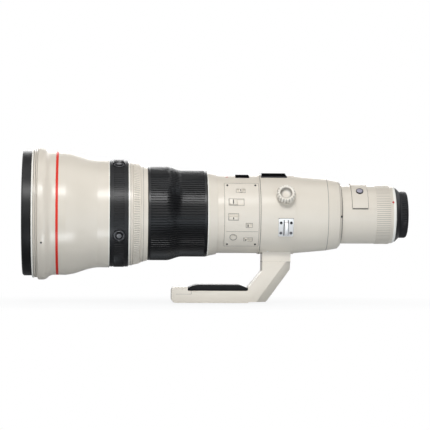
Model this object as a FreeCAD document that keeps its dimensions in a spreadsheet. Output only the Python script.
import FreeCAD, Part
import math
import os

import Sketcher

# Super-telephoto lens on its tripod foot, in millimetres.
#
# Frame: +X runs along the optical axis towards the camera, +Z is up, and a viewer at -Y sees
# the switch panel. The origin is the mouth of the large tripod thread, in the foot's flat
# underside, so the foot stands on Z = 0.
#
# Along the axis, pieces are placed by their station: the distance behind the front rim.
# Around the axis, they are placed by their elevation: the angle above the horizontal on the
# switch side, in degrees, so that 90 is the top of the barrel.

SIZES = {
    # where the lens sits over its foot
    "axis_height": 109.0,
    "thread_station": 217.0,
    # front end: rubber bumper, hood seat, bead, and the barrel that necks down behind it
    "bumper_length": 11.6,
    "bumper_rise": 0.9,
    "bumper_edge": 1.6,
    "bumper_wall": 4.6,
    "hood_seat_length": 6.8,
    "hood_seat_rise": 2.5,
    "bead_rise": 5.9,
    "bead_edge": 1.2,
    "bead_crest": 6.1,
    "bead_fall": 6.0,
    "bead_fall_rise": 3.4,
    "bead_fall_round": 8.5,
    "bead_foot": 7.5,
    "bead_foot_round": 10.0,
    "band_land": 2.8,
    "band_length": 3.1,
    "band_radius": 75.7,
    "band_depth": 1.0,
    "front_land": 9.0,
    "neck_length": 38.0,
    "neck_rise": 1.1,
    "neck_round": 78.0,
    "neck_tail": 14.7,
    "front_wall": 2.4,
    # front optics
    "glass_recess": 7.0,
    "glass_thickness": 3.0,
    "glass_seat": 4.7,
    "glass_lip": 1.2,
    "front_lens_gap": 3.4,
    "front_lens_thickness": 9.0,
    "front_lens_seat": 1.5,
    "light_radius": 23.5,
    "frame_wall": 3.5,
    # ring of stop buttons
    "stop_ring_length": 22.8,
    "stop_ring_radius": 65.3,
    "stop_ring_wall": 5.2,
    "stop_recess_radius": 7.5,
    "stop_recess_depth": 2.3,
    "stop_button_radius": 4.2,
    "stop_button_height": 2.1,
    "stop_button_travel": 0.8,
    "stop_elevation": 65.5,
    # spacer, playback ring and middle ring
    "spacer_length": 5.2,
    "spacer_rise": 7.8,
    "playback_length": 10.3,
    "playback_front_rise": 7.0,
    "playback_rear_rise": 4.6,
    "playback_seat_rise": 7.5,
    "middle_length": 8.0,
    "middle_front_rise": 11.4,
    "middle_rear_rise": 9.3,
    # focusing ring: a metal sleeve with a ribbed rubber cover that steps down half way
    "focus_length": 72.6,
    "focus_front_rise": 8.8,
    "focus_front_length": 25.0,
    "focus_slope_length": 15.0,
    "focus_rear_rise": 4.3,
    "rubber_thickness": 2.6,
    "rib_height": 0.8,
    "rib_gap": 2.0,
    "rib_count": 80,
    "rib_margin": 2.0,
    # casing with the switches, and the fixed tube in front of it that the rings turn on
    "tube_rise": 0.3,
    "shoulder_length": 12.0,
    "shoulder_front_rise": 4.0,
    "shoulder_rear_rise": 1.4,
    "casing_length": 50.4,
    "casing_radius": 48.2,
    "casing_skin": 4.2,
    "motor_space": 4.0,
    "casing_wall": 3.5,
    "panel_thickness": 1.1,
    "panel_length": 42.5,
    "panel_elevation": -1.8,
    "panel_sweep": 102.0,
    "panel_screw_radius": 1.5,
    "panel_gap": 0.3,
    "panel_screw_inset": 4.2,
    "panel_screw_angle": 46.4,
    "panel_screw_height": 0.7,
    "slider_base_gap": 0.3,
    "slider_slot_gap": 0.2,
    "slider_stand": 0.9,
    "set_button_radius": 3.2,
    "set_button_travel": 0.6,
    "window_length": 17.1,
    "window_station": 267.5,
    "window_width": 40.0,
    "window_thickness": 1.4,
    "window_sweep": 110.0,
    "scale_margin": 1.0,
    "scale_thickness": 1.8,
    "scale_sweep": 140.0,
    "board_length": 18.0,
    "board_thickness": 1.6,
    "board_sweep": 70.0,
    "board_elevation": -35.0,
    "motor_length": 8.0,
    "motor_sweep": 80.0,
    # tripod collar, its seat on the barrel, and its lock
    "seam_length": 2.2,
    "collar_rise": 1.0,
    "collar_band": 4.2,
    "collar_length": 42.2,
    "neck_front": 292.5,
    "neck_rear": 327.2,
    "neck_width": 34.0,
    "joint_height": 50.6,
    "knob_station": 319.5,
    "knob_elevation": 25.0,
    "knob_radius": 11.4,
    "knob_height": 9.6,
    "knob_face_radius": 8.0,
    "knob_face_depth": 1.2,
    "knob_edge": 1.0,
    "flute_count": 18,
    "flute_radius": 1.5,
    "boss_radius": 7.6,
    "boss_height": 3.0,
    "stud_radius": 2.5,
    "lug_station": 319.1,
    "lug_elevation": -19.5,
    "lug_length": 18.0,
    "lug_sweep": 26.5,
    "lug_plate": 1.2,
    "bridge_width": 3.6,
    "bridge_span": 11.6,
    "bridge_leg": 2.6,
    "bridge_gap": 6.0,
    "bridge_drop": 0.8,
    "lug_screw_radius": 1.7,
    "lug_screw_height": 0.9,
    "lug_screw_spacing": 12.4,
    "lug_screw_angle": 7.4,
    # foot
    "foot_tip": 181.8,
    "foot_heel": 297.5,
    "foot_width": 36.0,
    "foot_front_height": 19.4,
    "foot_height": 14.8,
    "foot_step": 201.6,
    "foot_bend": 275.0,
    "foot_bend_height": 18.0,
    "foot_bend_round": 8.0,
    "neck_fork_height": 39.4,
    "neck_heel_height": 41.0,
    "foot_round": 5.0,
    "foot_corner_round": 5.0,
    "sole_end": 275.0,
    "heel_rise": 1.2,
    "heel_corner": 2.6,
    "heel_bevel": 10.5,
    "grip_height": 7.4,
    "grip_slope": 9.0,
    "grip_round": 5.0,
    "small_thread_offset": 42.0,
    "large_thread_radius": 3.97,
    "large_bush_radius": 6.5,
    "small_thread_radius": 2.6,
    "small_bush_radius": 5.0,
    "thread_depth": 10.0,
    "bush_height": 12.0,
    # back of the barrel
    "cone_length": 39.4,
    "cone_fall": 3.5,
    "cavity_radius": 34.0,
    "cavity_length": 31.0,
    "end_length": 17.7,
    "end_shoulder_fall": 2.5,
    "end_lip_fall": 5.9,
    "end_bevel": 3.2,
    "rear_radius": 35.9,
    "rear_length": 67.3,
    "rear_light_radius": 22.5,
    "rear_taper_length": 8.0,
    "rear_taper_radius": 35.0,
    "rear_bevel_length": 2.4,
    "rear_end_radius": 33.5,
    "nose_length": 2.3,
    "nose_radius": 29.0,
    # drop-in filter holder
    "holder_station": 410.9,
    "holder_length": 19.0,
    "holder_elevation": 12.0,
    "holder_thickness": 1.6,
    "holder_gap": 0.3,
    "filter_frame_length": 9.0,
    "filter_frame_radius": 27.2,
    "filter_radius": 25.0,
    "filter_thickness": 2.0,
    "slot_gap": 0.3,
    "slot_top": 50.0,
    "latch_elevation": 48.4,
    "latch_radius": 4.4,
    "latch_stand": 1.1,
    "latch_travel": 0.8,
    "latch_depth": 1.3,
    # optics in the back: stabiliser, aperture unit and rear lens
    "shift_radius": 31.5,
    "shift_half_width": 22.6,
    "shift_lip": 3.0,
    "shift_frame_length": 4.0,
    "shift_cell_length": 12.0,
    "shift_lens_radius": 21.0,
    "shift_lens_thickness": 6.0,
    "focus_cell_length": 24.0,
    "focus_cell_station": 180.0,
    "focus_lens_radius": 19.5,
    "focus_lens_thickness": 6.0,
    "iris_length": 18.0,
    "iris_radius": 33.0,
    "iris_opening": 17.0,
    "rear_lens_station": 438.0,
    "rear_lens_thickness": 5.0,
    # mount for the camera body
    "cover_rim": 1.1,
    "cover_tip_radius": 29.5,
    "flange_thickness": 3.0,
    "root_radius": 25.0,
    "root_length": 6.0,
    "tab_radius": 26.7,
    "tab_offset": 3.2,
    "tab_thickness": 1.8,
    "tab_sweep": 50.0,
    "mount_screw_radius": 1.3,
    "mount_screw_circle": 27.0,
    "mount_screw_height": 1.2,
    "contact_sweep": 62.0,
    "contact_wall": 3.4,
    "contact_length": 7.0,
    "pin_radius": 0.6,
    "pin_height": 0.5,
    "pin_angle": 7.0,
    # rear cap
    "cap_length": 10.4,
    "cap_radius": 28.6,
    "cap_bore": 27.0,
    "cap_floor": 2.5,
    "cap_edge": 1.8,
    "cap_gap": 0.15,
    "cap_rib_count": 36,
    "cap_rib_gap": 2.4,
    "cap_rib_depth": 0.5,
    "claw_radius": 25.3,
    "claw_thickness": 1.6,
    "claw_offset": 0.9,
    "claw_sweep": 40.0,
    # fits
    "press_gap": 0.1,
    "running_fit": 0.05,
    "end_gap": 0.15,
    "seat_gap": 0.3,
    # how far joined forms run into each other, and cutting forms stand clear
    "overlap": 0.5,
    "cut_clear": 2.0,
}

# Distance within which two points count as one
CLOSE = 0.01
# A hair over the radius of a half circle, so that its arc has one way to bulge
NEARLY_HALF = 1.0001


class Size:
    """A length or an angle: its value now, and the formula that binds a property to the sheet."""

    def __init__(self, value, formula):
        self.value = float(value)
        self.formula = formula

    def __add__(self, other):
        other = as_size(other)
        return Size(self.value + other.value, f"({self.formula} + {other.formula})")

    def __sub__(self, other):
        other = as_size(other)
        return Size(self.value - other.value, f"({self.formula} - {other.formula})")

    def __mul__(self, other):
        other = as_size(other)
        return Size(self.value * other.value, f"({self.formula} * {other.formula})")

    def __truediv__(self, other):
        other = as_size(other)
        return Size(self.value / other.value, f"({self.formula} / {other.formula})")

    def __radd__(self, other):
        return as_size(other) + self

    def __rsub__(self, other):
        return as_size(other) - self

    def __rmul__(self, other):
        return as_size(other) * self

    def __neg__(self):
        return Size(-self.value, f"(0 - {self.formula})")


def as_size(number):
    return number if isinstance(number, Size) else Size(number, f"({float(number)!r})")


def sine(angle):
    angle = as_size(angle)
    return Size(math.sin(math.radians(angle.value)), f"sin({angle.formula} * 1 deg)")


def cosine(angle):
    angle = as_size(angle)
    return Size(math.cos(math.radians(angle.value)), f"cos({angle.formula} * 1 deg)")


class Driving:
    """The sheet's cells, read by name."""

    def __init__(self, sheet):
        self.sheet = sheet

    def __getattr__(self, name):
        return Size(self.sheet.get(name), f"Sizes.{name}")


doc = FreeCAD.newDocument("telephoto_lens")
sheet = doc.addObject("Spreadsheet::Sheet", "Sizes")
for row, (name, value) in enumerate(SIZES.items(), start=1):
    sheet.set(f"A{row}", name)
    sheet.set(f"B{row}", str(value))
    sheet.setAlias(f"B{row}", name)
doc.recompute()
d = Driving(sheet)

parts = {}


def keep(label, feature):
    """Name a finished piece. Its file takes the same name."""
    feature.Label = label
    parts[label] = feature
    return feature


def bind(feature, path, size):
    feature.setExpression(path, as_size(size).formula)


def on_axis(feature, elevation=90.0):
    """Stand a piece that is modelled along +X on the optical axis, its +Z at the elevation."""
    feature.Placement = FreeCAD.Placement(
        FreeCAD.Vector(0, 0, 0), FreeCAD.Rotation(FreeCAD.Vector(1, 0, 0), 1)
    )
    bind(feature, "Placement.Base.x", -d.thread_station)
    bind(feature, "Placement.Base.z", d.axis_height)
    feature.setExpression("Placement.Rotation.Angle", f"{(90.0 - as_size(elevation)).formula} * 1 deg")


def out_from_axis(feature, station, low, elevation, back=0.0, aside=0.0):
    """Stand a piece that is modelled upwards on the radial line at a station and an elevation.

    Its base is at the radius low. back and aside shift its corner along and across the barrel."""
    low = as_size(low)
    aside = as_size(aside)
    feature.Placement = FreeCAD.Placement(
        FreeCAD.Vector(0, 0, 0), FreeCAD.Rotation(FreeCAD.Vector(1, 0, 0), 1)
    )
    bind(feature, "Placement.Base.x", station - d.thread_station - back)
    bind(feature, "Placement.Base.y", -(low * cosine(elevation)) - aside * sine(elevation))
    bind(feature, "Placement.Base.z", d.axis_height + low * sine(elevation) - aside * cosine(elevation))
    feature.setExpression("Placement.Rotation.Angle", f"{(90.0 - as_size(elevation)).formula} * 1 deg")


def new_sketch(body, plane, offset=None):
    sketch = body.newObject("Sketcher::SketchObject", body.Name + "_outline")
    support = [item for item in body.Origin.OriginFeatures if item.Role == plane][0]
    sketch.AttachmentSupport = [(support, "")]
    sketch.MapMode = "FlatFace"
    if offset is not None:
        bind(sketch, "AttachmentOffset.Base.z", offset)
    return sketch


def constrain(sketch, kind, where, size):
    size = as_size(size)
    number = sketch.addConstraint(Sketcher.Constraint(kind, *where, size.value))
    bind(sketch, f"Constraints[{number}]", size)


def draw_outline(sketch, vertices):
    """Closed outline through (along, out) vertices. A third value rounds the stretch that
    follows: its radius, positive where the stretch bulges to the left of the way it is drawn."""
    corners = [tuple(as_size(part) for part in vertex) for vertex in vertices]
    ends = []
    for number, corner in enumerate(corners):
        following = corners[(number + 1) % len(corners)]
        start = FreeCAD.Vector(corner[0].value, corner[1].value, 0)
        finish = FreeCAD.Vector(following[0].value, following[1].value, 0)
        if len(corner) == 2:
            sketch.addGeometry(Part.LineSegment(start, finish), False)
            ends.append((1, 2))
            continue
        radius = abs(corner[2].value)
        chord = finish - start
        left = FreeCAD.Vector(-chord.y, chord.x, 0).normalize()
        side = 1.0 if corner[2].value > 0 else -1.0
        height = math.sqrt(radius**2 - (chord.Length / 2) ** 2)
        centre = (start + finish) * 0.5 - left * side * height
        first, last = (finish, start) if side > 0 else (start, finish)
        arc = Part.ArcOfCircle(
            Part.Circle(centre, FreeCAD.Vector(0, 0, 1), radius),
            math.atan2(first.y - centre.y, first.x - centre.x),
            math.atan2(last.y - centre.y, last.x - centre.x),
        )
        sketch.addGeometry(arc, False)
        ends.append((2, 1) if side > 0 else (1, 2))
    for number in range(len(corners)):
        following = (number + 1) % len(corners)
        sketch.addConstraint(
            Sketcher.Constraint("Coincident", number, ends[number][1], following, ends[following][0])
        )
    for number, corner in enumerate(corners):
        constrain(sketch, "DistanceX", (-1, 1, number, ends[number][0]), corner[0])
        constrain(sketch, "DistanceY", (-1, 1, number, ends[number][0]), corner[1])
        if len(corner) == 3:
            radius = corner[2] if corner[2].value > 0 else -corner[2]
            constrain(sketch, "Radius", (number,), radius)


def draw_circle(sketch, across, up, radius):
    radius = as_size(radius)
    across = as_size(across)
    up = as_size(up)
    centre = FreeCAD.Vector(across.value, up.value, 0)
    number = sketch.addGeometry(Part.Circle(centre, FreeCAD.Vector(0, 0, 1), radius.value), False)
    constrain(sketch, "Radius", (number,), radius)
    constrain(sketch, "DistanceX", (-1, 1, number, 3), across)
    constrain(sketch, "DistanceY", (-1, 1, number, 3), up)


def new_body(name):
    return doc.addObject("PartDesign::Body", name)


def revolve(body, vertices, sweep=None, axis="H_Axis"):
    """Turn an outline about the axis, all the way or over a sweep centred on the outline."""
    sketch = new_sketch(body, "XZ_Plane")
    draw_outline(sketch, vertices)
    turn = body.newObject("PartDesign::Revolution", body.Name + "_turn")
    turn.Profile = sketch
    turn.ReferenceAxis = (sketch, [axis])
    turn.Angle = 360.0
    if sweep is not None:
        turn.Midplane = True
        turn.setExpression("Angle", f"{as_size(sweep).formula} * 1 deg")
    return turn


def turned(name, vertices, elevation=90.0, sweep=None):
    """A piece turned about the optical axis."""
    body = new_body(name)
    revolve(body, vertices, sweep)
    on_axis(body, elevation)
    return body


def cut_around(body, kind, plane, draw, length, count, offset=None):
    """A pad or a pocket, as thick as length, repeated evenly round the optical axis."""
    sketch = new_sketch(body, plane, offset)
    draw(sketch)
    feature = body.newObject("PartDesign::" + kind, body.Name + "_cut")
    feature.Profile = sketch
    feature.Midplane = True
    bind(feature, "Length", length)
    return around(body, feature, sketch, count)


def around(body, feature, sketch, count, axis="H_Axis"):
    pattern = body.newObject("PartDesign::PolarPattern", body.Name + "_around")
    pattern.Originals = [feature]
    pattern.Axis = (sketch, [axis])
    pattern.Angle = 360.0
    bind(pattern, "Occurrences", count)
    body.Tip = pattern
    return pattern


def radial_cylinder(name, station, low, high, radius, elevation):
    post = doc.addObject("Part::Cylinder", name)
    bind(post, "Radius", radius)
    bind(post, "Height", high - low)
    out_from_axis(post, station, low, elevation)
    return post


def screw_head(name, station, low, high, radius, elevation):
    """A small twelve-sided head, standing on the radial line."""
    head = doc.addObject("Part::Prism", name)
    head.Polygon = 12
    bind(head, "Circumradius", radius)
    bind(head, "Height", high - low)
    out_from_axis(head, station, low, elevation)
    return head


def radial_block(name, station, low, high, length, width, elevation):
    block = doc.addObject("Part::Box", name)
    bind(block, "Length", length)
    bind(block, "Width", width)
    bind(block, "Height", high - low)
    out_from_axis(block, station, low, elevation, back=length / 2, aside=width / 2)
    return block


def axial_post(name, station, length, radius, circle, elevation, sides):
    """A many-sided post along the barrel, on a circle round the axis."""
    post = doc.addObject("Part::Prism", name)
    post.Placement = FreeCAD.Placement(
        FreeCAD.Vector(0, 0, 0), FreeCAD.Rotation(FreeCAD.Vector(0, 1, 0), 90)
    )
    post.Polygon = sides
    bind(post, "Circumradius", radius)
    bind(post, "Height", length)
    bind(post, "Placement.Base.x", station - d.thread_station)
    bind(post, "Placement.Base.y", -(circle * cosine(elevation)))
    bind(post, "Placement.Base.z", d.axis_height + circle * sine(elevation))
    return post


def cut(name, base, tools):
    result = doc.addObject("Part::Cut", name)
    result.Base = base
    result.Tool = tools[0] if len(tools) == 1 else fuse(name + "_tools", tools)
    return result


def fuse(name, shapes):
    result = doc.addObject("Part::MultiFuse", name)
    result.Shapes = shapes
    return result


def group(name, members):
    result = doc.addObject("Part::Compound", name)
    result.Links = members
    return result


# Stations of the seams between the rings, from the front rim back
bumper_rear = d.bumper_length
bead_front = bumper_rear + d.hood_seat_length
bead_crest = bead_front + d.bead_crest
bead_middle = bead_crest + d.bead_fall
bead_rear = bead_middle + d.bead_foot
band_front = bead_rear + d.band_land
band_rear = band_front + d.band_length
neck_front = band_rear + d.front_land
neck_middle = neck_front + d.neck_length / 2
neck_rear = neck_front + d.neck_length
stop_front = neck_rear + d.neck_tail
stop_rear = stop_front + d.stop_ring_length
playback_front = stop_rear + d.spacer_length
playback_rear = playback_front + d.playback_length
focus_front = playback_rear + d.middle_length
focus_rear = focus_front + d.focus_length
casing_front = focus_rear + d.shoulder_length
casing_rear = casing_front + d.casing_length
collar_front = casing_rear + d.seam_length
collar_rear = collar_front + d.collar_length
cone_rear = collar_rear + d.cone_length
end_rear = cone_rear + d.end_length
tube_rear = end_rear + d.rear_length
flange_front = tube_rear + d.nose_length
flange_rear = flange_front + d.flange_thickness
root_rear = flange_rear + d.root_length

# Radii that follow from their neighbours'
bumper_radius = d.band_radius + d.bumper_rise
hood_seat_radius = d.band_radius + d.hood_seat_rise
bead_radius = d.band_radius + d.bead_rise
neck_radius = d.stop_ring_radius + d.neck_rise
neck_slope_radius = (d.band_radius + neck_radius) / 2
glass_radius = d.band_radius - d.glass_seat
front_lens_radius = glass_radius - d.front_lens_seat
tube_radius = d.casing_radius + d.tube_rise
playback_seat_radius = tube_radius + d.playback_seat_rise
playback_front_radius = playback_seat_radius + d.playback_front_rise
playback_rear_radius = playback_seat_radius + d.playback_rear_rise
spacer_radius = playback_seat_radius + d.spacer_rise
middle_front_radius = tube_radius + d.middle_front_rise
middle_rear_radius = tube_radius + d.middle_rear_rise
focus_front_radius = tube_radius + d.focus_front_rise
focus_rear_radius = tube_radius + d.focus_rear_rise
shoulder_front_radius = d.casing_radius + d.shoulder_front_rise
shoulder_rear_radius = d.casing_radius + d.shoulder_rear_rise
casing_bore = d.casing_radius - d.casing_skin
tube_neck_radius = casing_bore - d.motor_space
collar_radius = d.casing_radius + d.collar_rise
seat_radius = collar_radius - d.collar_band
cone_rear_radius = d.casing_radius - d.cone_fall
end_shoulder_radius = cone_rear_radius - d.end_shoulder_fall
end_lip_radius = cone_rear_radius - d.end_lip_fall



# Front end

# Rubber bumper round the front rim, with a bevelled edge
front_bore = bumper_radius - d.bumper_wall
keep("front_bumper", turned("front_bumper", [
    (0.0, front_bore),
    (0.0, bumper_radius - d.bumper_edge),
    (d.bumper_edge, bumper_radius),
    (bumper_rear, bumper_radius),
    (bumper_rear, front_bore),
]))

# Front casing: hood seat, bead, land with the colour band's groove, and the S-shaped neck
barrel_bore = d.band_radius - d.front_wall
neck_bore = d.stop_ring_radius - d.stop_ring_wall
keep("front_barrel", turned("front_barrel", [
    (bumper_rear, barrel_bore),
    (bumper_rear, hood_seat_radius),
    (bead_front, hood_seat_radius),
    (bead_front, bead_radius - d.bead_edge),
    (bead_front + d.bead_edge, bead_radius),
    (bead_crest, bead_radius, d.bead_fall_round),
    (bead_middle, d.band_radius + d.bead_fall_rise, -d.bead_foot_round),
    (bead_rear, d.band_radius),
    (band_front, d.band_radius),
    (band_front, d.band_radius - d.band_depth),
    (band_rear, d.band_radius - d.band_depth),
    (band_rear, d.band_radius),
    (neck_front, d.band_radius, d.neck_round),
    (neck_middle, neck_slope_radius, -d.neck_round),
    (neck_rear, neck_radius),
    (stop_front, neck_radius),
    (stop_front, neck_bore),
    (neck_rear, neck_bore),
    (neck_front, barrel_bore),
]))

# Colour band, seated in its groove
keep("colour_band", turned("colour_band", [
    (band_front, d.band_radius - d.band_depth),
    (band_front, d.band_radius),
    (band_rear, d.band_radius),
    (band_rear, d.band_radius - d.band_depth),
]))



def disc(name, front, thickness, radius):
    """A round glass across the optical axis."""
    return turned(name, [
        (front, 0.0),
        (front, radius),
        (front + thickness, radius),
        (front + thickness, 0.0),
    ])


# Protective glass, and the main lens behind it
glass_rear = d.glass_recess + d.glass_thickness
keep("front_glass", disc("front_glass", d.glass_recess, d.glass_thickness, glass_radius))
lens_front = glass_rear + d.front_lens_gap
lens_rear = lens_front + d.front_lens_thickness
keep("front_lens", disc("front_lens", lens_front, d.front_lens_thickness, front_lens_radius))

# Frame that holds both and carries the front casing: a shell round the light path's tube
plate_rear = lens_rear + d.frame_wall
shell_bore = barrel_bore - d.frame_wall
path_radius = d.light_radius + d.frame_wall
keep("front_frame", turned("front_frame", [
    (d.glass_recess, glass_radius),
    (d.glass_recess - d.glass_lip, glass_radius),
    (d.glass_recess - d.glass_lip, front_bore),
    (bumper_rear, front_bore),
    (bumper_rear, barrel_bore),
    (neck_front, barrel_bore),
    (neck_rear, neck_bore),
    (stop_rear, neck_bore),
    (stop_rear, neck_bore - d.frame_wall),
    (neck_rear, neck_bore - d.frame_wall),
    (neck_front, shell_bore),
    (plate_rear, shell_bore),
    (plate_rear, path_radius),
    (stop_rear, path_radius),
    (stop_rear, d.light_radius),
    (lens_rear, d.light_radius),
    (lens_rear, front_lens_radius),
    (glass_rear, front_lens_radius),
    (glass_rear, glass_radius),
]))


# Stop button ring

# Rubber-covered ring with four round recesses, a quarter turn apart
stop_station = (stop_front + stop_rear) / 2
stop_floor = d.stop_ring_radius - d.stop_recess_depth
stop_ring = turned("stop_ring_blank", [
    (stop_front, neck_bore),
    (stop_front, d.stop_ring_radius),
    (stop_rear, d.stop_ring_radius),
    (stop_rear, neck_bore),
])
stop_elevations = [d.stop_elevation + quarter * 90.0 for quarter in range(4)]
recesses = [
    radial_cylinder(f"stop_recess_{number}", stop_station, stop_floor,
                    d.stop_ring_radius + d.stop_recess_depth, d.stop_recess_radius, elevation)
    for number, elevation in enumerate(stop_elevations, start=1)
]
keep("stop_ring", cut("stop_ring", stop_ring, recesses))


button_low = stop_floor + d.stop_button_travel + d.press_gap
for number, elevation in enumerate(stop_elevations, start=1):
    label = f"stop_button_{number}"
    keep(label, radial_cylinder(label, stop_station, button_low, button_low + d.stop_button_height,
                                d.stop_button_radius, elevation))


# Rings between the front barrel and the focusing ring

# Spacer with the seat that the playback ring turns on
keep("spacer_ring", turned("spacer_ring", [
    (stop_rear, tube_radius),
    (stop_rear, spacer_radius),
    (playback_front, spacer_radius),
    (playback_front, playback_seat_radius),
    (playback_rear, playback_seat_radius),
    (playback_rear, tube_radius),
]))
playback_bore = playback_seat_radius + d.running_fit
keep("playback_ring", turned("playback_ring", [
    (playback_front + d.end_gap, playback_bore),
    (playback_front + d.end_gap, playback_front_radius),
    (playback_rear - d.end_gap, playback_rear_radius),
    (playback_rear - d.end_gap, playback_bore),
]))
keep("middle_ring", turned("middle_ring", [
    (playback_rear, tube_radius),
    (playback_rear, middle_front_radius),
    (focus_front, middle_rear_radius),
    (focus_front, tube_radius),
]))


# Focusing ring

sleeve_front = focus_front + d.end_gap
sleeve_rear = focus_rear - d.end_gap
slope_front = sleeve_front + d.focus_front_length
slope_rear = slope_front + d.focus_slope_length
focus_bore = tube_radius + d.running_fit


def focus_profile(inset, front, rear):
    """The stepped line of the focusing ring, inset from its outer surface."""
    return [
        (front, focus_front_radius - inset),
        (slope_front, focus_front_radius - inset),
        (slope_rear, focus_rear_radius - inset),
        (rear, focus_rear_radius - inset),
    ]


keep("focus_sleeve", turned("focus_sleeve", [
    (sleeve_front, focus_bore),
    *focus_profile(d.rubber_thickness, sleeve_front, sleeve_rear),
    (sleeve_rear, focus_bore),
]))

# Ribbed rubber cover: grooves along the barrel between plain margins, all the way round
rubber = turned("focus_rubber", [
    *focus_profile(0.0, sleeve_front, sleeve_rear),
    *reversed(focus_profile(d.rubber_thickness, sleeve_front, sleeve_rear)),
])


def rib_gap_outline(sketch):
    floor = focus_profile(d.rib_height, sleeve_front + d.rib_margin, sleeve_rear - d.rib_margin)
    clear = focus_front_radius + d.rib_height
    draw_outline(sketch, [*floor, (floor[-1][0], clear), (floor[0][0], clear)])


cut_around(rubber, "Pocket", "XZ_Plane", rib_gap_outline, d.rib_gap, d.rib_count)
keep("focus_rubber", rubber)


# Inner tube that the rings turn on, with the bore for the focusing lens
keep("inner_tube", turned("inner_tube", [
    (stop_rear, d.light_radius),
    (stop_rear, path_radius),
    (focus_rear - d.frame_wall, path_radius),
    (focus_rear - d.frame_wall, tube_radius - d.frame_wall),
    (stop_rear, tube_radius - d.frame_wall),
    (stop_rear, tube_radius),
    (focus_rear, tube_radius),
    (focus_rear, tube_neck_radius),
    (casing_rear, tube_neck_radius),
    (casing_rear, d.light_radius),
]))


def lens_group(name, front, length, outer, lens_radius, lens_thickness):
    """A ring-shaped cell, with its lens half way along it."""
    keep(name + "_cell", turned(name + "_cell", [
        (front, lens_radius),
        (front, outer),
        (front + length, outer),
        (front + length, lens_radius),
    ]))
    keep(name + "_lens", disc(name + "_lens", front + (length - lens_thickness) / 2, lens_thickness,
                              lens_radius))


lens_group("focus", d.focus_cell_station - d.focus_cell_length / 2, d.focus_cell_length,
           d.light_radius - d.running_fit, d.focus_lens_radius, d.focus_lens_thickness)


# Casing with the switches and the distance window

scale_front = d.window_station - d.window_length / 2 - d.scale_margin
scale_rear = d.window_station + d.window_length / 2 + d.scale_margin
casing_blank = turned("casing_blank", [
    (focus_rear, tube_neck_radius),
    (focus_rear, shoulder_front_radius),
    (casing_front, shoulder_rear_radius),
    (casing_front, d.casing_radius),
    (casing_rear, d.casing_radius),
    (casing_rear, casing_bore),
    (focus_rear + d.casing_wall, casing_bore),
    (focus_rear + d.casing_wall, tube_neck_radius),
])
window_low = casing_bore - d.cut_clear
window_high = d.casing_radius + d.cut_clear
window_hole = radial_block("window_hole", d.window_station, window_low, window_high,
                           d.window_length, d.window_width, 90.0)
keep("rear_casing", cut("rear_casing", casing_blank, [window_hole]))

# Curved clear window, filling its hole flush with the casing
window_blank = turned("window_blank", [
    (d.window_station - d.window_length / 2, d.casing_radius - d.window_thickness),
    (d.window_station - d.window_length / 2, d.casing_radius),
    (d.window_station + d.window_length / 2, d.casing_radius),
    (d.window_station + d.window_length / 2, d.casing_radius - d.window_thickness),
], sweep=d.window_sweep)
window_form = radial_block("window_form", d.window_station, tube_neck_radius / 2, window_high,
                           d.window_length, d.window_width, 90.0)
window = doc.addObject("Part::Common", "distance_window")
window.Base = window_blank
window.Tool = window_form
keep("distance_window", window)

# Distance scale: a part of a drum under the window, turned by the focusing ring
scale_outer = casing_bore - d.seat_gap
keep("distance_scale", turned("distance_scale", [
    (scale_front, scale_outer - d.scale_thickness),
    (scale_front, scale_outer),
    (scale_rear, scale_outer),
    (scale_rear, scale_outer - d.scale_thickness),
], sweep=d.scale_sweep))

# Curved motor in the shoulder, on the far side, and the curved circuit board behind the switches
motor_front = focus_rear + d.casing_wall
keep("focus_motor", turned("focus_motor", [
    (motor_front, tube_neck_radius),
    (motor_front, casing_bore),
    (motor_front + d.motor_length, casing_bore),
    (motor_front + d.motor_length, tube_neck_radius),
], elevation=180.0, sweep=d.motor_sweep))
board_front = motor_front + d.motor_length + d.scale_margin
keep("circuit_board", turned("circuit_board", [
    (board_front, casing_bore - d.board_thickness),
    (board_front, casing_bore),
    (board_front + d.board_length, casing_bore),
    (board_front + d.board_length, casing_bore - d.board_thickness),
], elevation=d.board_elevation, sweep=d.board_sweep))

# Switch panel: a curved plate, with a slot or a hole for each control
panel_rear = casing_rear - d.panel_gap
panel_front = panel_rear - d.panel_length
panel_top = d.casing_radius + d.panel_thickness
panel_blank = turned("panel_blank", [
    (panel_front, d.casing_radius),
    (panel_front, panel_top),
    (panel_rear, panel_top),
    (panel_rear, d.casing_radius),
], elevation=d.panel_elevation, sweep=d.panel_sweep)

# name: station, elevation, slot length and width, slider length and width, rest place in slot
SWITCHES = {
    "limiter_switch": (264.3, 34.6, 10.0, 4.6, 4.2, 4.2, (0.0, 0.0)),
    "focus_mode_switch": (258.9, 16.9, 17.6, 7.4, 9.6, 7.0, (-3.8, 0.0)),
    "stabiliser_switch": (255.3, -4.2, 11.4, 7.2, 11.0, 3.6, (0.0, -1.6)),
    "stabiliser_mode_switch": (274.4, -16.2, 6.8, 4.4, 3.4, 4.0, (-1.5, 0.0)),
    "preset_switch": (273.6, -38.7, 9.6, 4.4, 3.8, 4.0, (-2.7, 0.0)),
}
SET_BUTTON = (255.5, -35.0)

panel_low = d.casing_radius - d.cut_clear
panel_high = panel_top + d.cut_clear
slots = []
for label, (station, elevation, slot_length, slot_width, *_rest) in SWITCHES.items():
    slots.append(radial_block(label + "_slot", as_size(station), panel_low, panel_high,
                              as_size(slot_length), as_size(slot_width), elevation))
slots.append(radial_cylinder("set_button_hole", as_size(SET_BUTTON[0]), panel_low, panel_high,
                             d.set_button_radius + d.slider_slot_gap, SET_BUTTON[1]))
keep("switch_panel", cut("switch_panel", panel_blank, slots))

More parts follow.
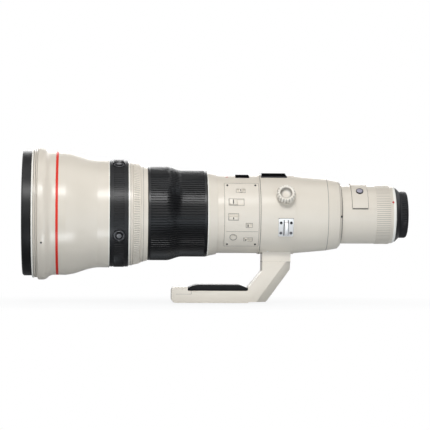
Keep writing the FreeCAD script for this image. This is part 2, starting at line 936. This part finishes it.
slider_low = d.casing_radius + d.slider_base_gap
slider_high = panel_top + d.slider_stand
for label, (station, elevation, _length, _width, length, width, rest) in SWITCHES.items():
    turn = rest[1] / SIZES["casing_radius"] * 180.0 / math.pi
    slider = radial_block(label + "_blank", as_size(station + rest[0]), slider_low, slider_high,
                          as_size(length), as_size(width), elevation + turn)
    keep(label, slider)

set_low = d.casing_radius + d.set_button_travel + d.slider_base_gap
keep("set_button", radial_cylinder("set_button", as_size(SET_BUTTON[0]), set_low, slider_high,
                                   d.set_button_radius, SET_BUTTON[1]))

# One screw head near each corner of the panel
keep("panel_screws", group("panel_screws", [
    screw_head(f"panel_screw_{along}_{side}", station, panel_top,
                    panel_top + d.panel_screw_height, d.panel_screw_radius,
                    d.panel_elevation + d.panel_screw_angle * side)
    for along, station in enumerate((panel_front + d.panel_screw_inset,
                                     panel_rear - d.panel_screw_inset), start=1)
    for side in (1, -1)
]))


# Tripod collar

# Seat on the barrel: a flange with a seam, and the plain journal that the collar turns on
cavity_front = collar_rear - d.cavity_length
keep("collar_seat", turned("collar_seat", [
    (casing_rear, d.light_radius),
    (casing_rear, collar_radius),
    (collar_front, collar_radius),
    (collar_front, seat_radius),
    (collar_rear, seat_radius),
    (collar_rear, d.cavity_radius),
    (cavity_front, d.cavity_radius),
    (cavity_front, d.light_radius),
]))

# Collar: band, neck down to the foot, and a boss for the lock's stud
collar_bore = seat_radius + d.running_fit
neck_top = collar_bore + d.overlap
band = turned("collar_blank", [
    (collar_front + d.end_gap, collar_bore),
    (collar_front + d.end_gap, collar_radius),
    (collar_rear - d.end_gap, collar_radius),
    (collar_rear - d.end_gap, collar_bore),
])
neck_sketch = new_sketch(band, "XZ_Plane")
draw_outline(neck_sketch, [
    (d.neck_front, -(d.axis_height - d.joint_height)),
    (d.neck_rear, -(d.axis_height - d.joint_height)),
    (d.neck_rear, -neck_top),
    (d.neck_front, -neck_top),
])
neck = band.newObject("PartDesign::Pad", "collar_neck")
neck.Profile = neck_sketch
neck.Midplane = True
bind(neck, "Length", d.neck_width)
boss_top = collar_radius + d.boss_height
boss = radial_cylinder("lock_boss", d.knob_station, collar_bore + d.overlap, boss_top,
                       d.boss_radius, d.knob_elevation)
stud_hole = radial_cylinder("stud_hole", d.knob_station, collar_bore - d.cut_clear,
                            boss_top + d.cut_clear,
                            d.stud_radius + d.running_fit, d.knob_elevation)
keep("tripod_collar", cut("tripod_collar", fuse("collar_with_boss", [band, boss]), [stud_hole]))

# Lock: a fluted knob with a sunk face, and the stud that clamps the collar on its seat
knob_low = boss_top + d.seat_gap
knob = new_body("lock_knob")
revolve(knob, [
    (0.0, 0.0),
    (d.knob_radius, 0.0),
    (d.knob_radius, d.knob_height - d.knob_edge),
    (d.knob_radius - d.knob_edge, d.knob_height),
    (d.knob_face_radius, d.knob_height),
    (d.knob_face_radius, d.knob_height - d.knob_face_depth),
    (0.0, d.knob_height - d.knob_face_depth),
], axis="V_Axis")
flute_sketch = new_sketch(knob, "XY_Plane")
draw_circle(flute_sketch, d.knob_radius + d.flute_radius / 2, 0.0, d.flute_radius)
flute = knob.newObject("PartDesign::Pocket", "knob_flute")
flute.Profile = flute_sketch
flute.Midplane = True
bind(flute, "Length", (d.knob_height + d.cut_clear) * 2)
around(knob, flute, flute_sketch, d.flute_count, axis="N_Axis")
out_from_axis(knob, d.knob_station, knob_low, d.knob_elevation)
stud = radial_cylinder("lock_stud", d.knob_station, seat_radius + d.seat_gap,
                       knob_low + d.knob_edge, d.stud_radius, d.knob_elevation)
keep("lock_knob", fuse("lock_knob_with_stud", [knob, stud]))


def strap_lug(name, elevation):
    """A curved plate on the collar, with a bridge across it that a strap loops round."""
    body = new_body(name)
    plate_top = collar_radius + d.lug_plate
    front = d.lug_station - d.lug_length / 2
    rear = d.lug_station + d.lug_length / 2
    revolve(body, [
        (front, collar_radius),
        (front, plate_top),
        (rear, plate_top),
        (rear, collar_radius),
    ], sweep=d.lug_sweep)
    root = collar_radius + d.press_gap
    under = plate_top + d.bridge_gap
    shoulder = under - d.bridge_drop
    inner = d.bridge_span / 2
    outer = inner + d.bridge_leg
    sketch = new_sketch(body, "YZ_Plane", d.lug_station)
    draw_outline(sketch, [
        (-outer, root),
        (-outer, shoulder, d.bridge_span),
        (outer, shoulder),
        (outer, root),
        (inner, root),
        (inner, under),
        (-inner, under),
        (-inner, root),
    ])
    bridge = body.newObject("PartDesign::Pad", name + "_bridge")
    bridge.Profile = sketch
    bridge.Midplane = True
    bind(bridge, "Length", d.bridge_width)
    on_axis(body, elevation)
    return body


far_lug_elevation = 180.0 - d.lug_elevation
keep("strap_lug_near", strap_lug("strap_lug_near", d.lug_elevation))
keep("strap_lug_far", strap_lug("strap_lug_far", far_lug_elevation))
plate_top = collar_radius + d.lug_plate
keep("lug_screws", group("lug_screws", [
    screw_head(f"lug_screw_{lug}_{along}_{side}", d.lug_station + d.lug_screw_spacing / 2 * along,
                    plate_top, plate_top + d.lug_screw_height, d.lug_screw_radius,
                    elevation + d.lug_screw_angle * side)
    for lug, elevation in (("near", d.lug_elevation), ("far", far_lug_elevation))
    for along in (1, -1)
    for side in (1, -1)
]))


# Foot

# One bent arm: flat underside, raised toe, recess for the grip, and the slanted heel
foot = new_body("foot_blank")
foot_sketch = new_sketch(foot, "XZ_Plane")
draw_outline(foot_sketch, [
    (d.foot_tip + d.foot_round, 0.0, d.foot_round),
    (d.foot_tip, d.foot_round),
    (d.foot_tip, d.foot_front_height - d.foot_round, d.foot_round),
    (d.foot_tip + d.foot_round, d.foot_front_height),
    (d.foot_step, d.foot_front_height),
    (d.foot_step, d.foot_height),
    (d.foot_bend, d.foot_height),
    (d.foot_bend, d.foot_bend_height),
    (d.neck_front, d.neck_fork_height),
    (d.neck_front, d.joint_height),
    (d.neck_rear, d.joint_height),
    (d.neck_rear, d.neck_heel_height),
    (d.foot_heel + d.heel_corner, d.heel_rise + d.heel_corner),
    (d.foot_heel, d.heel_rise),
    (d.sole_end + d.heel_rise, d.heel_rise),
    (d.sole_end, 0.0),
])
arm = foot.newObject("PartDesign::Pad", "foot_arm")
arm.Profile = foot_sketch
arm.Midplane = True
bind(arm, "Length", d.foot_width)


def edges_between(feature, first, second):
    """Names of the edges whose ends lie over these two (along, up) points, on any side."""
    found = []
    for number, edge in enumerate(feature.Shape.Edges, start=1):
        ends = [(end.Point.x, end.Point.z) for end in edge.Vertexes]
        wanted = [(along.value, up.value) for along, up in (first, second)]
        for order in (wanted, wanted[::-1]):
            if len(ends) == 2 and math.dist(ends[0], order[0]) + math.dist(ends[1], order[1]) < CLOSE:
                found.append(f"Edge{number}")
                break
    return found


def dress(body, kind, name, size, pairs):
    """Break or round the edges that lie over each pair of (along, up) points."""
    doc.recompute()
    base = body.Tip
    names = []
    for first, second in pairs:
        names += edges_between(base, first, second)
    dressed = body.newObject(f"PartDesign::{kind}", name)
    dressed.Base = (base, names)
    bind(dressed, "Radius" if kind == "Fillet" else "Size", size)
    return dressed


heel_low = (d.foot_heel + d.heel_corner, d.heel_rise + d.heel_corner)
heel_high = (d.neck_rear, d.neck_heel_height)
bend = (d.foot_bend, d.foot_bend_height)
fork = (d.neck_front, d.neck_fork_height)
dress(foot, "Chamfer", "heel_bevels", d.heel_bevel, [(heel_low, heel_high)])
dress(foot, "Fillet", "bend_round", d.foot_bend_round, [(bend, bend)])
dress(foot, "Fillet", "fork_round", d.foot_corner_round, [(fork, fork)])
bind(foot, "Placement.Base.x", -d.thread_station)


def bush_at(name, offset, outer, inner):
    """A threaded steel bush let into the foot's underside, with its blind hole's mouth down."""
    holes = []
    for part, radius, height in (("shell", outer, d.bush_height), ("hole", inner, d.thread_depth)):
        post = doc.addObject("Part::Cylinder", f"{name}_{part}")
        bind(post, "Radius", radius)
        bind(post, "Height", height)
        bind(post, "Placement.Base.x", offset)
        holes.append(post)
    seat = doc.addObject("Part::Cylinder", f"{name}_seat")
    bind(seat, "Radius", outer)
    bind(seat, "Height", d.bush_height)
    bind(seat, "Placement.Base.x", offset)
    keep(name, cut(name, holes[0], [holes[1]]))
    return seat


seats = [
    bush_at("large_thread_bush", as_size(0.0), d.large_bush_radius, d.large_thread_radius),
    bush_at("small_thread_bush", d.small_thread_offset, d.small_bush_radius, d.small_thread_radius),
]
keep("tripod_foot", cut("tripod_foot", foot, seats))

# Rubber grip for the fingers, in the recess on top of the foot
grip = new_body("foot_grip")
grip_sketch = new_sketch(grip, "XZ_Plane")
grip_top = d.foot_height + d.grip_height
draw_outline(grip_sketch, [
    (d.foot_step, d.foot_height),
    (d.foot_step + d.grip_slope, grip_top),
    (d.foot_bend - d.grip_slope, grip_top),
    (d.foot_bend, d.foot_height),
])
grip_pad = grip.newObject("PartDesign::Pad", "grip_pad")
grip_pad.Profile = grip_sketch
grip_pad.Midplane = True
bind(grip_pad, "Length", d.foot_width)
grip_front = (d.foot_step + d.grip_slope, grip_top)
grip_back = (d.foot_bend - d.grip_slope, grip_top)
dress(grip, "Fillet", "grip_rounds", d.grip_round, [(grip_front, grip_front), (grip_back, grip_back)])
bind(grip, "Placement.Base.x", -d.thread_station)
keep("foot_grip", grip)


# Back of the barrel

# Cone behind the collar, with the pocket for the aperture unit
iris_front = cone_rear - d.iris_length
keep("rear_cone", turned("rear_cone", [
    (collar_rear, d.rear_light_radius),
    (collar_rear, d.casing_radius),
    (cone_rear, cone_rear_radius),
    (cone_rear, d.iris_radius),
    (iris_front, d.iris_radius),
    (iris_front, d.rear_light_radius),
]))
keep("aperture_unit", turned("aperture_unit", [
    (iris_front, d.iris_opening),
    (iris_front, d.iris_radius),
    (cone_rear, d.iris_radius),
    (cone_rear, d.iris_opening),
]))

# End ring, rounded down to the slim rear tube
keep("end_ring", turned("end_ring", [
    (cone_rear, d.rear_light_radius),
    (cone_rear, cone_rear_radius),
    (end_rear - d.end_bevel, end_shoulder_radius),
    (end_rear, end_lip_radius),
    (end_rear, d.rear_light_radius),
]))

# Stabiliser: a frame that shifts up and down, and in it a lens cell that shifts sideways
frame_front = cavity_front + d.seat_gap
frame_body = new_body("shift_frame")
frame_sketch = new_sketch(frame_body, "YZ_Plane", frame_front + d.shift_frame_length / 2)
draw_outline(frame_sketch, [
    (-d.shift_half_width, -d.shift_half_width),
    (d.shift_half_width, -d.shift_half_width),
    (d.shift_half_width, d.shift_half_width),
    (-d.shift_half_width, d.shift_half_width),
])
draw_circle(frame_sketch, 0.0, 0.0, d.light_radius - d.shift_lip)
frame_plate = frame_body.newObject("PartDesign::Pad", "shift_plate")
frame_plate.Profile = frame_sketch
frame_plate.Midplane = True
bind(frame_plate, "Length", d.shift_frame_length)
on_axis(frame_body)
keep("shift_frame", frame_body)
lens_group("shift", frame_front + d.shift_frame_length + d.seat_gap, d.shift_cell_length,
           d.shift_radius, d.shift_lens_radius, d.shift_lens_thickness)

# Rear tube: thick wall with the filter slot in its top, and an end that tapers in two steps
rear_blank = turned("rear_tube_blank", [
    (end_rear, d.rear_light_radius),
    (end_rear, d.rear_radius),
    (tube_rear - d.rear_taper_length, d.rear_radius),
    (tube_rear - d.rear_bevel_length, d.rear_taper_radius),
    (tube_rear, d.rear_end_radius),
    (tube_rear, d.nose_radius),
    (flange_front, d.nose_radius),
    (flange_front, d.rear_light_radius),
])


def slot_block(name, radius, length):
    """A block with a round bottom, open upwards: the filter frame's form, and its slot's."""
    body = new_body(name)
    high = d.slot_top
    sketch = new_sketch(body, "YZ_Plane", d.holder_station)
    draw_outline(sketch, [
        (-radius, 0.0, -(radius * NEARLY_HALF)),
        (radius, 0.0),
        (radius, high),
        (-radius, high),
    ])
    pad = body.newObject("PartDesign::Pad", name + "_pad")
    pad.Profile = sketch
    pad.Midplane = True
    bind(pad, "Length", length)
    on_axis(body)
    return body


filter_slot = slot_block("filter_slot", d.filter_frame_radius + d.slot_gap,
                         d.filter_frame_length + d.slot_gap * 2)
keep("rear_tube", cut("rear_tube", rear_blank, [filter_slot]))

# Drop-in filter holder: a saddle over the tube, and a frame for the filter in the slot
saddle_low = d.rear_radius + d.holder_gap
saddle_high = saddle_low + d.holder_thickness
saddle = turned("filter_saddle", [
    (d.holder_station - d.holder_length / 2, saddle_low),
    (d.holder_station - d.holder_length / 2, saddle_high),
    (d.holder_station + d.holder_length / 2, saddle_high),
    (d.holder_station + d.holder_length / 2, saddle_low),
], sweep=180.0 - d.holder_elevation * 2)
frame_block = slot_block("filter_frame", d.filter_frame_radius, d.filter_frame_length)
frame_limit = turned("filter_frame_limit", [
    (d.holder_station - d.holder_length, 0.0),
    (d.holder_station - d.holder_length, saddle_low + d.overlap),
    (d.holder_station + d.holder_length, saddle_low + d.overlap),
    (d.holder_station + d.holder_length, 0.0),
])
frame = doc.addObject("Part::Common", "filter_frame_trimmed")
frame.Base = frame_block
frame.Tool = frame_limit
filter_front = d.holder_station - d.filter_thickness / 2
filter_seat = turned("filter_seat", [
    (d.holder_station - d.holder_length, 0.0),
    (d.holder_station - d.holder_length, d.rear_light_radius),
    (filter_front, d.rear_light_radius),
    (filter_front, d.filter_radius),
    (d.holder_station + d.holder_length, d.filter_radius),
    (d.holder_station + d.holder_length, 0.0),
])
latch_elevations = {"filter_latch_near": d.latch_elevation,
                    "filter_latch_far": 180.0 - d.latch_elevation}
latch_floor = saddle_high - d.latch_depth
latch_holes = [
    radial_cylinder(label + "_hole", d.holder_station, latch_floor, saddle_high + d.cut_clear,
                    d.latch_radius + d.slider_slot_gap, elevation)
    for label, elevation in latch_elevations.items()
]
keep("filter_holder", cut("filter_holder", fuse("filter_body", [frame, saddle]),
                          [filter_seat, *latch_holes]))
keep("filter_glass", turned("filter_glass", [
    (filter_front, 0.0),
    (filter_front, d.filter_radius),
    (filter_front + d.filter_thickness, d.filter_radius),
    (filter_front + d.filter_thickness, 0.0),
]))
latch_low = latch_floor + d.latch_travel + d.press_gap
for label, elevation in latch_elevations.items():
    keep(label, radial_cylinder(label, d.holder_station, latch_low, saddle_high + d.latch_stand,
                                d.latch_radius, elevation))

# Last lens, in the rear tube's bore
keep("rear_lens", disc("rear_lens", d.rear_lens_station, d.rear_lens_thickness, d.rear_light_radius))


# Camera mount

# Black cover ring that slopes in to the flange
keep("mount_cover", turned("mount_cover", [
    (tube_rear, d.nose_radius),
    (tube_rear, d.rear_end_radius),
    (tube_rear + d.cover_rim, d.rear_end_radius),
    (flange_rear, d.cover_tip_radius),
    (flange_rear, d.nose_radius),
]))

# Bayonet: flange and root in one, with three tabs that hook behind the camera's own
bayonet_body = turned("bayonet_blank", [
    (flange_front, d.rear_light_radius),
    (flange_front, d.nose_radius),
    (flange_rear, d.nose_radius),
    (flange_rear, d.root_radius),
    (root_rear, d.root_radius),
    (root_rear, d.rear_light_radius),
])


def claws(body, front, thickness, low, high, sweep):
    """Three short claws inside or outside a ring, a third of a turn apart."""
    claw = revolve(body, [
        (front, low),
        (front, high),
        (front + thickness, high),
        (front + thickness, low),
    ], sweep)
    around(body, claw, claw.Profile[0], as_size(3))


claws(bayonet_body, flange_rear + d.tab_offset, d.tab_thickness, d.root_radius - d.overlap,
      d.tab_radius, d.tab_sweep)
screw_elevations = [45.0 + quarter * 90.0 for quarter in range(4)]


def mount_screw(kind, number, elevation):
    return axial_post(f"mount_{kind}_{number}", flange_rear - d.mount_screw_height,
                      d.mount_screw_height, d.mount_screw_radius, d.mount_screw_circle, elevation, 12)


screw_seats = [mount_screw("seat", number, angle) for number, angle in enumerate(screw_elevations)]
keep("bayonet", cut("bayonet", bayonet_body, screw_seats))
keep("mount_screws", group("mount_screws", [
    mount_screw("screw", number, angle) for number, angle in enumerate(screw_elevations)
]))

# Contact block at the bottom of the throat, with its row of pins
PIN_COUNT = 8
keep("contact_block", turned("contact_block", [
    (flange_front, d.rear_light_radius - d.contact_wall),
    (flange_front, d.rear_light_radius),
    (flange_front + d.contact_length, d.rear_light_radius),
    (flange_front + d.contact_length, d.rear_light_radius - d.contact_wall),
], elevation=-90.0, sweep=d.contact_sweep))
keep("contact_pins", group("contact_pins", [
    axial_post(f"contact_pin_{number}", flange_front + d.contact_length, d.pin_height,
               d.pin_radius, d.rear_light_radius - d.contact_wall / 2,
               (number - (PIN_COUNT - 1) / 2) * d.pin_angle - 90.0, 6)
    for number in range(PIN_COUNT)
]))


# Rear cap: a ribbed cup with claws that pass between the bayonet's tabs
cap_front = flange_rear + d.cap_gap
cap_rear = cap_front + d.cap_length
cap = turned("rear_cap", [
    (cap_front, d.cap_bore),
    (cap_front, d.cap_radius),
    (cap_rear - d.cap_edge, d.cap_radius),
    (cap_rear, d.cap_radius - d.cap_edge),
    (cap_rear, 0.0),
    (cap_rear - d.cap_floor, 0.0),
    (cap_rear - d.cap_floor, d.cap_bore),
], elevation=30.0)


def cap_groove_outline(sketch):
    floor = d.cap_radius - d.cap_rib_depth
    clear = d.cap_radius + d.cap_rib_depth
    draw_outline(sketch, [
        (cap_front + d.cap_edge, floor),
        (cap_rear - d.cap_edge, floor),
        (cap_rear - d.cap_edge, clear),
        (cap_front + d.cap_edge, clear),
    ])


cut_around(cap, "Pocket", "XZ_Plane", cap_groove_outline, d.cap_rib_gap, d.cap_rib_count)
claws(cap, cap_front + d.claw_offset, d.claw_thickness, d.claw_radius, d.cap_bore + d.overlap,
      d.claw_sweep)
keep("rear_cap", cap)


def check_and_write():
    """Stop on anything that failed, and only then write one file for each piece."""
    doc.recompute()
    for item in doc.Objects:
        if "Invalid" in item.State or "Error" in item.State:
            raise RuntimeError(f"{item.Label} failed: {item.State}")
    for label, feature in parts.items():
        if feature.Shape.isNull() or not feature.Shape.isValid():
            raise RuntimeError(f"{label} has no valid shape")
    os.makedirs("parts", exist_ok=True)
    for label, feature in parts.items():
        feature.Shape.exportStep(f"parts/{label}.step")
        box = feature.Shape.BoundBox
        print(f"{label}: {len(feature.Shape.Solids)} solid(s), {feature.Shape.Volume:.0f} mm3, "
              f"X {box.XMin:.1f} to {box.XMax:.1f}, Z {box.ZMin:.1f} to {box.ZMax:.1f}")
    print(len(parts), "pieces")


check_and_write()
